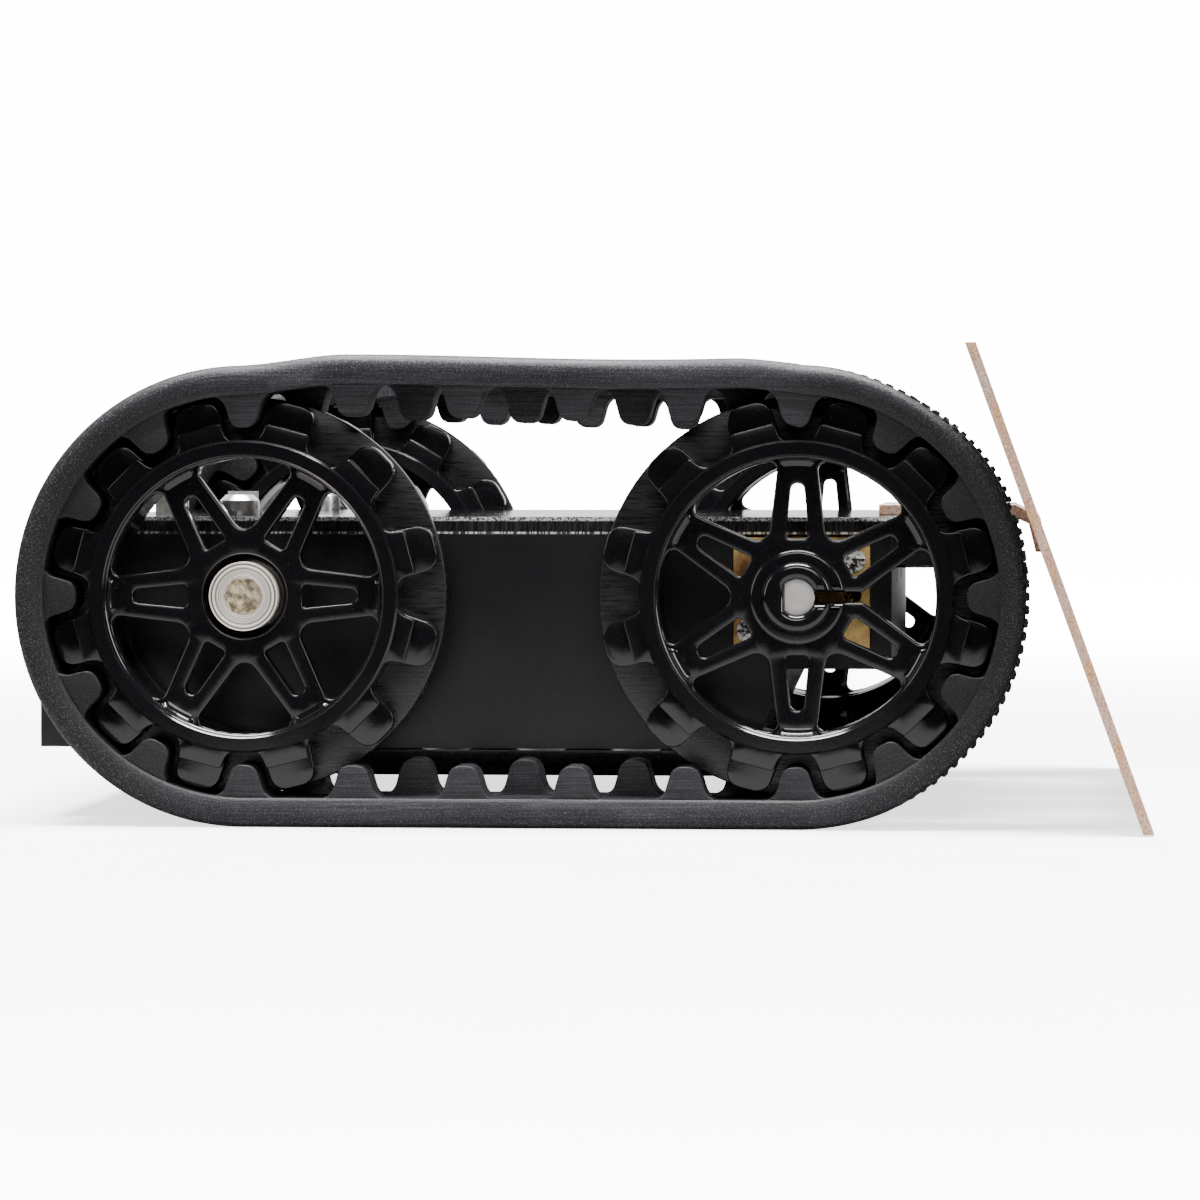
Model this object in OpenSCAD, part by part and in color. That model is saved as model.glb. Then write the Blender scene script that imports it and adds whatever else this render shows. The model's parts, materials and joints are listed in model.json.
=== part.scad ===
// Tracked tank chassis: a moulded body on two rubber tracks, with a steel blade in front.
// +X is forwards, +Y is the left side, +Z is up. The origin is on the ground,
// under the middle of the overall length and width. Units are millimetres.

/* [Layout] */
// Overall length, from the back of the tracks to the toe of the blade
overall_length = 98.5; // [98:0.1:99]
// Distance between the idler axle and the drive axle
axle_spacing = 48; // [47.9:0.1:48.1]
// Height of both axles above the ground
axle_height = 20; // [19.9:0.05:20.1]

/* [Tracks] */
// Width of one track
track_width = 11; // [10.5:0.1:11.5]
// Distance from the middle plane of the chassis to the middle of a track
track_offset = 37.9; // [37.7:0.1:38.2]
// Thickness of the track band
band_thickness = 2.55; // [2.3:0.05:2.55]
// Number of pitches in half a turn round a wheel
half_turn_pitches = 6; // [6:1:6]
// Number of pitches between the two axles
straight_pitches = 5; // [5:1:5]
// Height of the drive teeth inside the band
track_tooth_height = 2.85; // [2.4:0.05:2.95]

/* [Sprockets] */
// Outer radius of the sprocket's middle disc
disc_radius = 17.3; // [17:0.05:17.35]
// Width of the sprocket drum
drum_width = 10; // [9.6:0.1:10.2]
// Outer radius of the drum ring between the tooth blocks
drum_radius = 13.6; // [13.3:0.1:13.8]
// Number of tooth blocks on each side of the disc
block_count = 12; // [12:1:12]
// Number of spokes
spoke_count = 6; // [6:1:6]
// Width of a spoke
spoke_width = 4.7; // [4.4:0.1:5]

/* [Body] */
// Width of the moulded body
body_width = 63; // [62.6:0.1:63.2]
// Height of the underside above the ground
ground_clearance = 6.3; // [6:0.1:6.6]
// Height of the top face of the moulding
body_top = 25.2; // [25.1:0.05:25.3]
// Wall thickness of the moulding
wall = 1.5; // [1.3:0.1:1.6]
// Thickness of the acrylic plate on top
plate_thickness = 1.6; // [1.4:0.1:1.8]

/* [Battery bay] */
// Diameter of one cell
cell_diameter = 14.5; // [14:0.1:14.5]
// Thickness of the battery cover
cover_thickness = 1.5; // [1.3:0.1:1.6]

/* [Blade] */
// Angle between the blade and the ground, in degrees
blade_angle = 70; // [69:0.5:71]
// Overall width of the blade
blade_width = 98; // [94:0.5:98.4]
// Sheet thickness of the blade
blade_thickness = 0.95; // [0.85:0.05:1.05]
// Height of the top edge of the blade above the ground
blade_top = 41.8; // [41:0.1:42.5]

/* [Gearmotors] */
// Width of the gearbox and of the motor, along the chassis
gearbox_width = 12; // [12:0.1:12]
// Height of the gearbox and of the motor
gearbox_height = 10; // [9.9:0.05:10]
// Distance between the output shaft and the layshaft
gear_centres = 3.2; // [3.2:0.1:3.2]
// Radius of the output shaft
shaft_radius = 1.5; // [1.48:0.01:1.52]

/* [Hidden] */
$fn = 64;
eps = 0.01;

// Axles and track path
rear_x = axle_height - overall_length / 2;
front_x = rear_x + axle_spacing;
pitch = axle_spacing / straight_pitches;
loop_pitches = 2 * (half_turn_pitches + straight_pitches);
band_inner = axle_height - band_thickness;
tooth_tip = band_inner - track_tooth_height + 0.05;
track_in = track_offset - track_width / 2;
track_out = track_offset + track_width / 2;
tooth_inset = 0.5;
groove_half = 0.75;
block_tilt = 180 / block_count;

// Sprockets, measured outwards from the chassis's middle plane
drum_in = track_offset - drum_width / 2;
drum_out = track_offset + drum_width / 2;
disc_half = 0.6;
ring_inner = 12.1;
block_width = 3.5;
block_step_radius = 15;
block_top_radius = 17.2;
spoke_recess = 1;
web_thickness = 2;
hub_radius = 4.2;
slot_start = 6.2;
slot_end = 9.2;

// Idler axle: a shoulder bolt through the side wall
washer_face = body_width / 2 + 1;
shoulder_radius = 2;
bolt_head_radius = 3;
bolt_head_in = 40.4;
bolt_head_height = 2;
bolt_thread_radius = 1.25;
idler_nut_in = 28.9;
idler_nut_out = 30.3;

// Moulded body
half_body = body_width / 2;
body_back = rear_x - 19.8;
box_front = 13.85;
bay_floor = 13.4;
pocket_back = front_x - gearbox_width / 2 - 0.1;
pocket_front = front_x + gearbox_width / 2 + 0.1;
pocket_floor = axle_height - gearbox_height / 2;
bay_front = pocket_front + 1.8;
lip_front = 32.75;
lip_bottom = 22.5;
lip_half_width = 28;
roof_thickness = 2;
cavity_back = body_back + wall;
cavity_front = pocket_back - 1.75;
cavity_top = body_top - roof_thickness;
cover_gap = 0.1;
cover_half = half_body - wall - cover_gap;
cover_back = cavity_back + cover_gap;
hinge_x = 8.4;
hinge_z = ground_clearance + 1.5;
hinge_pin_radius = 1;
hinge_running = 0.05;

// Top plate
plate_top = body_top + plate_thickness;
plate_back = -45.5;
plate_front = 26.15;
plate_tongue = 32.25;
free_hole_radius = 1.15;
free_hole_x = [-22, 4];
free_hole_y = 15;

// Screws through the plate: two behind, cut into the body, and two in front, through the
// blade's tabs and into nuts
screw_radius = 1;
screw_clear = 1.1;
screw_head_radius = 1.75;
screw_head_height = 1.9;
screw_head_slope = 0.5;
screw_socket_depth = 0.8;
screw_bite = 2.3;
rear_screw = [-31.6, 28.3];
front_screw = [bay_front + 1.9, 9];
nut_flat = 4;
nut_height = 1.6;
nut_pocket = 1;

// Blade
blade_toe_z = 0.2;
blade_run = (blade_top - blade_toe_z) / tan(blade_angle);
toe_x = overall_length / 2;
tab_width = 8;
tab_back = front_screw[0] - 3.5;

// Gearmotor, measured outwards from the chassis's middle plane
box_out = 31.9;
box_plate = 0.7;
box_in = 22.9;
gear_zero = box_in + box_plate;
level_width = 1.2;
levels = [0.3, 1.9, 3.5, 5.1];
lay_angle = -35;
pinion_teeth = [16, 14, 13, 10];
wheel_teeth = [32, 34, 35, 38];
gear_module = 2 * gear_centres / 48;
lay_radius = 0.35;
stub_radius = 0.5;
gear_running = 0.04;
shaft_end = 41.7;
flat_depth = 0.45;
motor_end = 9.4;
can_wall = 0.4;
cap_thickness = 1.5;
armature_radius = 3.1;
post_places = [[4.5, 3], [-4.6, -3.2]];
post_radius = 0.95;

// Battery contacts
spring_turns = 4;
spring_steps = 14;
spring_sides = 6;
spring_wire = 0.3;
cell_axis = (ground_clearance + cover_thickness + cavity_top) / 2;
cell_pitch = cell_diameter + 0.2;
contact_thickness = 0.4;
tab_x = -40.2;
tab_length = 3;
tab_y = cell_pitch * 1.5 + 0.2;
tab_rise = 1.9;

// ---------- shared shapes ----------

// Stands a side-view outline up and extrudes it between two distances to the right
module outwards(from, to) {
    translate([0, -from, 0]) rotate([90, 0, 0]) linear_extrude(to - from) children();
}

module both_sides() {
    children();
    mirror([0, 1, 0]) children();
}

// A rod along Y on the axle at x, between two distances to the right
module rod(x, radius, from, to) {
    outwards(from, to) translate([x, axle_height]) circle(radius);
}

module rounded_rectangle(low, high, radius) {
    translate([low[0] + radius, low[1]]) square([high[0] - low[0] - 2 * radius, high[1] - low[1]]);
    translate([low[0], low[1] + radius]) square([high[0] - low[0], high[1] - low[1] - 2 * radius]);
    for (x = [low[0] + radius, high[0] - radius], y = [low[1] + radius, high[1] - radius])
        translate([x, y]) circle(radius);
}

module hexagon(across_flats) {
    circle(across_flats / sqrt(3), $fn = 6);
}

// ---------- body ----------

module body_side() {
    polygon([
        [body_back, ground_clearance], [box_front, ground_clearance],
        [box_front, ground_clearance + 1.2], [box_front + 1.4, ground_clearance + 1.9],
        [box_front + 2.6, ground_clearance + 4.4], [box_front + 3.6, bay_floor],
        [bay_front, bay_floor], [bay_front, body_top], [body_back, body_top],
    ]);
}

module main_body() {
    color([0.03, 0.03, 0.035]) difference() {
        union() {
            outwards(-half_body, half_body) body_side();
            translate([bay_front - 1, -lip_half_width, lip_bottom])
                cube([lip_front - bay_front + 1, 2 * lip_half_width, body_top - lip_bottom]);
        }
        battery_cavity();
        translate([pocket_back, -half_body - 1, pocket_floor])
            cube([pocket_front - pocket_back, body_width + 2, gearbox_height + 1]);
        cover_opening();
        both_sides() rod(rear_x, bolt_thread_radius + 0.1, half_body - 4, half_body + 1);
        both_sides() outwards(idler_nut_in - 1, idler_nut_out)
            translate([rear_x, axle_height]) hexagon(5.1);
        for (y = [-rear_screw[1], rear_screw[1]])
            translate([rear_screw[0], y, body_top - screw_bite])
                cylinder(r = screw_radius, h = screw_bite + 1);
        for (y = [-front_screw[1], front_screw[1]]) translate([front_screw[0], y, 0]) {
            translate([0, 0, lip_bottom]) cylinder(r = screw_clear, h = 4);
            translate([0, 0, lip_bottom - 2]) linear_extrude(2 + nut_pocket) hexagon(nut_flat + 0.2);
        }
        for (x = free_hole_x, y = [-free_hole_y, free_hole_y])
            translate([x, y, cavity_top - 1]) cylinder(r = free_hole_radius, h = 4);
        both_sides() translate([tab_x - 0.2, -tab_y - 0.2, cavity_top - 1])
            cube([tab_length + 0.4, contact_thickness + 0.4, 4]);
    }
}

// Room for the cells, with a land left round each idler nut and each rear screw
module battery_cavity() {
    difference() {
        translate([cavity_back, -half_body + wall, ground_clearance + cover_thickness])
            cube([cavity_front - cavity_back, body_width - 2 * wall,
                  cavity_top - ground_clearance - cover_thickness]);
        both_sides() translate([rear_x - 4, -half_body, axle_height - 2.9])
            cube([8, half_body - idler_nut_in, 8]);
        both_sides() translate([rear_screw[0] - 2.6, -half_body, cavity_top - 3.4])
            cube([5.2, half_body - rear_screw[1] + 2.6, 5]);
    }
}

// Mouth under the cells, and the sockets for the cover's pins
module cover_opening() {
    translate([cavity_back, -half_body + wall, ground_clearance - 1])
        cube([hinge_x + 2.4 - cavity_back, body_width - 2 * wall, cover_thickness + 1 + eps]);
    translate([hinge_x, half_body - 0.5, hinge_z]) rotate([90, 0, 0])
        cylinder(r = hinge_pin_radius + hinge_running, h = body_width - 1);
}

module battery_cover() {
    color([0.035, 0.035, 0.04]) {
        translate([cover_back, -cover_half, ground_clearance])
            cube([hinge_x + 0.2 - cover_back, 2 * cover_half, cover_thickness - 0.1]);
        for (y = [-cover_half, cover_half - 8])
            translate([hinge_x, y + 8, hinge_z]) rotate([90, 0, 0]) cylinder(r = 1.5, h = 8);
        translate([hinge_x, cover_half + 0.85, hinge_z]) rotate([90, 0, 0])
            cylinder(r = hinge_pin_radius, h = 2 * cover_half + 1.7);
        for (i = [0 : 2]) translate([cover_back + 3 + 2 * i, -10, ground_clearance - 0.4])
            cube([0.8, 20, 0.5]);
    }
}

module top_plate() {
    color([0.02, 0.02, 0.02]) translate([0, 0, body_top]) linear_extrude(plate_thickness)
        difference() {
            union() {
                rounded_rectangle([plate_back, -half_body], [plate_front, half_body], 2);
                rounded_rectangle([plate_front - 8, -20], [plate_tongue, 20], 2);
            }
            for (y = [-1, 1]) {
                translate([rear_screw[0], y * rear_screw[1]]) circle(screw_clear);
                translate([front_screw[0], y * front_screw[1]]) circle(screw_clear);
                for (x = free_hole_x) translate([x, y * free_hole_y]) circle(free_hole_radius);
                translate([tab_x + tab_length / 2, y * (tab_y - contact_thickness / 2)])
                    square([tab_length + 0.4, contact_thickness + 0.4], center = true);
            }
        }
}

module screw(length) {
    cylinder(r = screw_radius, h = length);
    translate([0, 0, length]) difference() {
        union() {
            cylinder(r = screw_head_radius, h = screw_head_height - screw_head_slope);
            translate([0, 0, screw_head_height - screw_head_slope])
                cylinder(r1 = screw_head_radius, r2 = screw_head_radius - screw_head_slope, h = screw_head_slope);
        }
        translate([0, 0, screw_head_height - screw_socket_depth]) linear_extrude(2) hexagon(1.5);
    }
}

module plate_screws() {
    rear_length = plate_thickness + screw_bite;
    front_length = plate_top + blade_thickness - lip_bottom - nut_pocket + nut_height;
    color([0.8, 0.8, 0.8]) for (y = [-1, 1]) {
        translate([rear_screw[0], y * rear_screw[1], plate_top - rear_length]) screw(rear_length);
        translate([front_screw[0], y * front_screw[1], plate_top + blade_thickness - front_length])
            screw(front_length);
    }
}

module blade_nuts() {
    color([0.75, 0.75, 0.75]) for (y = [-front_screw[1], front_screw[1]])
        translate([front_screw[0], y, lip_bottom + nut_pocket - nut_height]) linear_extrude(nut_height)
            difference() {
                hexagon(nut_flat);
                circle(screw_radius);
            }
}

// ---------- battery contacts ----------

// End contact, a strip under the roof, and a solder tab that stands up through the plate
module battery_terminals() {
    back = body_back + wall;
    color([0.8, 0.78, 0.7]) both_sides() {
        translate([back, -cell_pitch * 1.5 - 5, cell_axis - 5]) cube([contact_thickness, 10, 10]);
        translate([back, -cell_pitch * 1.5 - 1.6, cell_axis + 4])
            cube([contact_thickness, 3.2, cavity_top - cell_axis - 4]);
        translate([back, -cell_pitch * 1.5 - 1.6, cavity_top - contact_thickness])
            cube([tab_x + tab_length - back, 3.2, contact_thickness]);
        translate([tab_x, -tab_y, cavity_top - contact_thickness])
            cube([tab_length, contact_thickness, plate_top + tab_rise - cavity_top + contact_thickness]);
    }
}

module battery_links() {
    color([0.8, 0.78, 0.7]) {
        translate([body_back + wall, -cell_pitch / 2 - 5, cell_axis - 5])
            cube([contact_thickness, cell_pitch + 10, 10]);
        both_sides() translate([cavity_front - contact_thickness, -cell_pitch * 1.5 - 5, cell_axis - 5])
            cube([contact_thickness, cell_pitch + 10, 10]);
    }
}

// Sweep of a wire round a cone-shaped coil that stands on the plane x = 0 and runs towards +X
function coil_centre(i) =
    let (turn = 360 * i / spring_steps, part = i / (spring_steps * spring_turns),
         radius = 3.8 - 1.8 * part)
    [spring_wire + 3 * part, radius * cos(turn), radius * sin(turn)];

function coil_ring(i) =
    let (turn = 360 * i / spring_steps, centre = coil_centre(i))
    [for (j = [0 : spring_sides - 1])
        let (a = 360 * j / spring_sides)
        centre + spring_wire * [sin(a), cos(a) * cos(turn), cos(a) * sin(turn)]];

module coil_spring() {
    rings = spring_steps * spring_turns;
    points = [for (i = [0 : rings]) each coil_ring(i)];
    sides = [for (i = [0 : rings - 1], j = [0 : spring_sides - 1])
        let (k = (j + 1) % spring_sides, a = i * spring_sides, b = a + spring_sides)
        each [[a + j, b + j, b + k], [a + j, b + k, a + k]]];
    first = [for (j = [0 : spring_sides - 1]) j];
    last = [for (j = [spring_sides - 1 : -1 : 0]) rings * spring_sides + j];
    polyhedron(points, concat(sides, [first, last]));
}

module battery_springs() {
    color([0.75, 0.75, 0.75]) {
        for (n = [-1.5, 0.5]) translate([body_back + wall + contact_thickness, n * cell_pitch, cell_axis])
            coil_spring();
        for (n = [-0.5, 1.5]) translate([cavity_front - contact_thickness, n * cell_pitch, cell_axis])
            mirror([1, 0, 0]) coil_spring();
    }
}

// ---------- blade ----------

module blade_side() {
    polygon([
        [toe_x - blade_thickness, blade_toe_z], [toe_x, blade_toe_z],
        [toe_x - blade_run, blade_top],
        [toe_x - blade_run - blade_thickness, blade_top],
    ]);
}

// Side view of a tab: it leaves the blade's window at its foot and lies back over the plate
module tab_side() {
    height = plate_top + blade_thickness;
    sheet_x = toe_x - (plate_top - 2 - blade_toe_z) / tan(blade_angle);
    polygon([
        [tab_back, plate_top], [sheet_x - 3.4, plate_top], [sheet_x - 1.6, plate_top - 0.8],
        [sheet_x - blade_thickness, plate_top - 3.4], [sheet_x, plate_top - 3.4],
        [sheet_x - 0.5, plate_top - 0.2], [sheet_x - 2.8, height], [tab_back, height],
    ]);
}

module blade() {
    window_low = plate_top - 3;
    color([0.75, 0.68, 0.62]) difference() {
        union() {
            difference() {
                outwards(-blade_width / 2, blade_width / 2) blade_side();
                for (y = [-front_screw[1], front_screw[1]])
                    translate([20, y - tab_width / 2 - 0.3, window_low])
                        cube([30, tab_width + 0.6, 13.2]);
            }
            for (y = [-front_screw[1], front_screw[1]])
                outwards(y - tab_width / 2, y + tab_width / 2) tab_side();
        }
        for (y = [-front_screw[1], front_screw[1]])
            translate([front_screw[0], y, plate_top - 1]) cylinder(r = screw_clear, h = 3);
    }
}

// ---------- tracks ----------

module loop_outline(radius) {
    translate([rear_x, axle_height]) circle(radius, $fn = 128);
    translate([front_x, axle_height]) circle(radius, $fn = 128);
    translate([rear_x, axle_height - radius]) square([axle_spacing, 2 * radius]);
}

// Moves a shape drawn over an axle to a place on the loop, counted in pitches from the top rear
module at_pitch(k) {
    turn = 180 / half_turn_pitches;
    front_end = straight_pitches + half_turn_pitches;
    if (k <= straight_pitches) translate([rear_x + k * pitch, axle_height]) children();
    else if (k < front_end)
        translate([front_x, axle_height]) rotate(-turn * (k - straight_pitches)) children();
    else if (k <= front_end + straight_pitches)
        translate([front_x - (k - front_end) * pitch, axle_height]) rotate(180) children();
    else translate([rear_x, axle_height])
        rotate(180 - turn * (k - front_end - straight_pitches)) children();
}

module track_tooth() {
    polygon([[-2.1, band_inner + 0.3], [-2.1, band_inner], [-1.4, band_inner - 1.3], [-1, tooth_tip],
             [1, tooth_tip], [1.4, band_inner - 1.3], [2.1, band_inner], [2.1, band_inner + 0.3]]);
}

module track() {
    color([0.09, 0.09, 0.09]) {
        outwards(track_in, track_out) difference() {
            loop_outline(axle_height);
            loop_outline(band_inner);
        }
        outwards(track_offset + groove_half, track_out - tooth_inset)
            for (k = [0 : loop_pitches - 1]) at_pitch(k) track_tooth();
        outwards(track_in + tooth_inset, track_offset - groove_half)
            for (k = [0 : loop_pitches - 1]) at_pitch(k + 0.5) track_tooth();
    }
}

// ---------- sprockets ----------

module blocks(radius, width, phase) {
    for (i = [0 : block_count - 1]) rotate(phase + i * 360 / block_count)
        translate([drum_radius - 0.8, -width / 2]) square([radius - drum_radius + 0.8, width]);
}

module spoke_slot() {
    polygon([[slot_start, -1.15], [slot_end, -0.75], [slot_end, 0.75], [slot_start, 1.15]]);
    translate([slot_start, 0]) circle(1.15);
    translate([slot_end, 0]) circle(0.75);
}

module spokes(phase) {
    difference() {
        union() {
            circle(6.4);
            for (i = [0 : spoke_count - 1]) rotate(phase + i * 360 / spoke_count)
                translate([0, -spoke_width / 2]) square([ring_inner + 0.4, spoke_width]);
        }
        for (i = [0 : spoke_count - 1]) rotate(phase + i * 360 / spoke_count) spoke_slot();
    }
}

// The wheel without its hub, centred on the axle at x
module wheel(x, phase) {
    outwards(drum_in, drum_out) translate([x, axle_height]) difference() {
        circle(drum_radius);
        circle(ring_inner);
    }
    outwards(track_offset - disc_half, track_offset + disc_half) translate([x, axle_height]) difference() {
        circle(disc_radius);
        circle(ring_inner + 0.3);
    }
    outwards(track_offset, drum_out) translate([x, axle_height])
        blocks(block_step_radius, block_width, block_tilt);
    outwards(track_offset, drum_out - 0.9) translate([x, axle_height])
        blocks(block_top_radius, block_width, block_tilt);
    outwards(drum_in, track_offset) translate([x, axle_height])
        blocks(block_step_radius, block_width, 0);
    outwards(drum_in + 0.9, track_offset) translate([x, axle_height])
        blocks(block_top_radius, block_width, 0);
    outwards(drum_out - spoke_recess - web_thickness, drum_out - spoke_recess)
        translate([x, axle_height]) spokes(phase);
}

// D-shaped outline of the output shaft, with its flat towards the back
module shaft_outline(radius) {
    difference() {
        circle(radius);
        translate([-radius - 1, -radius - 1]) square([1 + flat_depth, 2 * radius + 2]);
    }
}

module drive_sprocket() {
    color([0.05, 0.05, 0.055]) difference() {
        union() {
            wheel(front_x, 30);
            rod(front_x, hub_radius, box_out + 0.5, drum_out - 0.8);
        }
        outwards(box_out, drum_out + 1) translate([front_x, axle_height]) shaft_outline(shaft_radius);
    }
}

module idler_sprocket() {
    color([0.05, 0.05, 0.055]) difference() {
        union() {
            wheel(rear_x, 0);
            rod(rear_x, hub_radius + 0.6, washer_face + 0.1, drum_out - 0.8);
        }
        rod(rear_x, shoulder_radius + 0.05, box_out, drum_out + 1);
        rod(rear_x, bolt_head_radius + 0.7, bolt_head_in - 0.1, drum_out + 1);
    }
}

module shoulder_bolts() {
    color([0.75, 0.72, 0.66]) both_sides() difference() {
        union() {
            rod(rear_x, shoulder_radius, half_body, bolt_head_in);
            rod(rear_x, bolt_head_radius, bolt_head_in, bolt_head_in + bolt_head_height);
            rod(rear_x, bolt_thread_radius, idler_nut_in, half_body);
        }
        outwards(bolt_head_in + 0.8, bolt_head_in + 3) translate([rear_x, axle_height]) hexagon(3);
    }
}

module idler_washers() {
    color([0.7, 0.7, 0.7]) both_sides() outwards(half_body, washer_face)
        translate([rear_x, axle_height]) difference() {
            circle(4);
            circle(shoulder_radius + 0.1);
        }
}

module idler_nuts() {
    color([0.75, 0.75, 0.75]) both_sides() outwards(idler_nut_in, idler_nut_out)
        translate([rear_x, axle_height]) difference() {
            hexagon(5);
            circle(bolt_thread_radius);
        }
}

// ---------- gearmotors ----------

module gearbox_outline() {
    translate([front_x - gearbox_width / 2, axle_height - gearbox_height / 2])
        square([gearbox_width, gearbox_height]);
}

module at_posts() {
    for (p = post_places) translate([front_x + p[0], axle_height + p[1]]) children();
}

module at_layshaft() {
    translate([front_x + gear_centres * cos(lay_angle), axle_height + gear_centres * sin(lay_angle)])
        children();
}

module gearbox_outer_plate() {
    color([0.8, 0.62, 0.25]) outwards(box_out - box_plate, box_out) difference() {
        gearbox_outline();
        translate([front_x, axle_height]) circle(shaft_radius + 0.05);
        at_layshaft() circle(lay_radius);
        at_posts() circle(0.6);
        for (x = [-4.5, 4.5]) translate([front_x + x, axle_height]) circle(0.8);
    }
}

module gearbox_motor_plate() {
    color([0.8, 0.62, 0.25]) outwards(box_in, gear_zero) difference() {
        gearbox_outline();
        translate([front_x, axle_height]) circle(0.9);
        at_layshaft() circle(lay_radius);
        at_posts() circle(0.6);
    }
}

module gearbox_spacers() {
    color([0.78, 0.62, 0.3]) outwards(gear_zero, box_out - box_plate) at_posts() difference() {
        circle(post_radius);
        circle(0.6);
    }
}

module gearbox_screws() {
    color([0.8, 0.78, 0.75]) {
        outwards(box_in, box_out) at_posts() circle(0.6);
        difference() {
            outwards(box_out, box_out + 0.3) at_posts() circle(1.1);
            outwards(box_out + 0.15, box_out + 1) at_posts() square([2.4, 0.3], center = true);
        }
    }
}

module layshaft() {
    color([0.8, 0.8, 0.8]) outwards(box_in, box_out) at_layshaft() circle(lay_radius);
}

module output_shaft() {
    stub_in = gear_zero + levels[1] - 0.1;
    stub_out = gear_zero + levels[3];
    color([0.85, 0.85, 0.85]) {
        outwards(stub_out, shaft_end) translate([front_x, axle_height]) shaft_outline(shaft_radius);
        rod(front_x, stub_radius, stub_in, stub_out);
    }
}

// Outline of a small gear: straight-sided teeth, thinned to leave backlash
function tooth_angle(radius, half_thickness) = half_thickness / radius * 180 / PI;

function gear_points(teeth) =
    let (r = gear_module * teeth / 2, root = r - 1.15 * gear_module, tip = r + 0.75 * gear_module,
         half = 0.2 * PI * gear_module,
         wide = tooth_angle(root, half + 0.4 * gear_module),
         thin = tooth_angle(tip, half - 0.28 * gear_module))
    [for (i = [0 : teeth - 1], corner = [[root, -wide], [tip, -thin], [tip, thin], [root, wide]])
        let (a = 360 * i / teeth + corner[1])
        corner[0] * [cos(a), sin(a)]];

// Outline of a wheel or pinion with a tooth at the angle phase
module gear_slice(teeth, phase, bore) {
    difference() {
        rotate(phase) polygon(gear_points(teeth));
        circle(bore);
    }
}

module on_level(level) {
    outwards(gear_zero + levels[level], gear_zero + levels[level] + level_width) children();
}

module between_levels(level) {
    outwards(gear_zero + levels[level] + level_width, gear_zero + levels[level + 1]) children();
}

// Wheel on one level and pinion on the next, joined by a collar, drawn round the layshaft
module lay_pair(level, bore) {
    back = lay_angle + 180;
    wheel_teeth_here = wheel_teeth[level];
    pinion_teeth_here = pinion_teeth[level + 1];
    on_level(level) at_layshaft()
        gear_slice(wheel_teeth_here, back + 180 / wheel_teeth_here, bore);
    between_levels(level) at_layshaft() difference() {
        circle(bore + 0.2);
        circle(bore);
    }
    on_level(level + 1) at_layshaft() gear_slice(pinion_teeth_here, back, bore);
}

module first_gear() {
    color([0.85, 0.7, 0.35]) lay_pair(0, lay_radius + gear_running);
}

module second_gear() {
    bore = stub_radius + gear_running;
    color([0.85, 0.7, 0.35]) {
        on_level(1) translate([front_x, axle_height])
            gear_slice(wheel_teeth[1], lay_angle + 180 / wheel_teeth[1], bore);
        between_levels(1) translate([front_x, axle_height]) difference() {
            circle(bore + 0.2);
            circle(bore);
        }
        on_level(2) translate([front_x, axle_height])
            gear_slice(pinion_teeth[2], lay_angle, bore);
    }
}

module third_gear() {
    color([0.85, 0.7, 0.35]) lay_pair(2, lay_radius + gear_running);
}

module output_gear() {
    color([0.85, 0.7, 0.35]) on_level(3) translate([front_x, axle_height]) difference() {
        rotate(lay_angle + 180 / wheel_teeth[3]) polygon(gear_points(wheel_teeth[3]));
        shaft_outline(shaft_radius);
    }
}

module motor_pinion() {
    color([0.85, 0.7, 0.35]) on_level(0) translate([front_x, axle_height])
        gear_slice(pinion_teeth[0], lay_angle, stub_radius);
}

module armature() {
    color([0.7, 0.42, 0.25]) {
        rod(front_x, stub_radius, motor_end + cap_thickness - 1, gear_zero + levels[0] + level_width);
        rod(front_x, armature_radius, motor_end + cap_thickness + 3, box_in - 1.8);
        rod(front_x, 1.2, motor_end + cap_thickness + 0.5, motor_end + cap_thickness + 3);
    }
}

module motor_outline(inset) {
    intersection() {
        translate([front_x, axle_height]) circle(gearbox_width / 2 - inset);
        translate([front_x - gearbox_width / 2, axle_height - gearbox_height / 2 + inset])
            square([gearbox_width, gearbox_height - 2 * inset]);
    }
}

module motor_can() {
    color([0.78, 0.78, 0.78]) difference() {
        outwards(motor_end + cap_thickness, box_in) motor_outline(0);
        outwards(motor_end, box_in - 0.6) motor_outline(can_wall);
        rod(front_x, stub_radius + 0.05, box_in - 1, box_in + 1);
    }
}

module motor_magnets() {
    color([0.15, 0.15, 0.15]) outwards(motor_end + cap_thickness + 2.5, box_in - 1.5)
        difference() {
            motor_outline(can_wall);
            translate([front_x, axle_height]) circle(armature_radius + 0.5);
            translate([front_x - 3, axle_height - gearbox_height / 2])
                square([6, gearbox_height]);
        }
}

module motor_end_cap() {
    color([0.92, 0.92, 0.9]) difference() {
        outwards(motor_end, motor_end + cap_thickness) motor_outline(0.1);
        rod(front_x, stub_radius + 0.05, motor_end + cap_thickness - 1.1, motor_end + cap_thickness + 1);
        for (x = [-3.4, 3.4]) outwards(motor_end - 1, motor_end + 2)
            translate([front_x + x - 0.25, axle_height - 0.9]) square([0.5, 1.8]);
    }
}

module motor_terminals() {
    color([0.8, 0.65, 0.3]) for (x = [-3.4, 3.4])
        outwards(motor_end - 2.2, motor_end + cap_thickness)
            translate([front_x + x - 0.25, axle_height - 0.9]) square([0.5, 1.8]);
}

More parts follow.
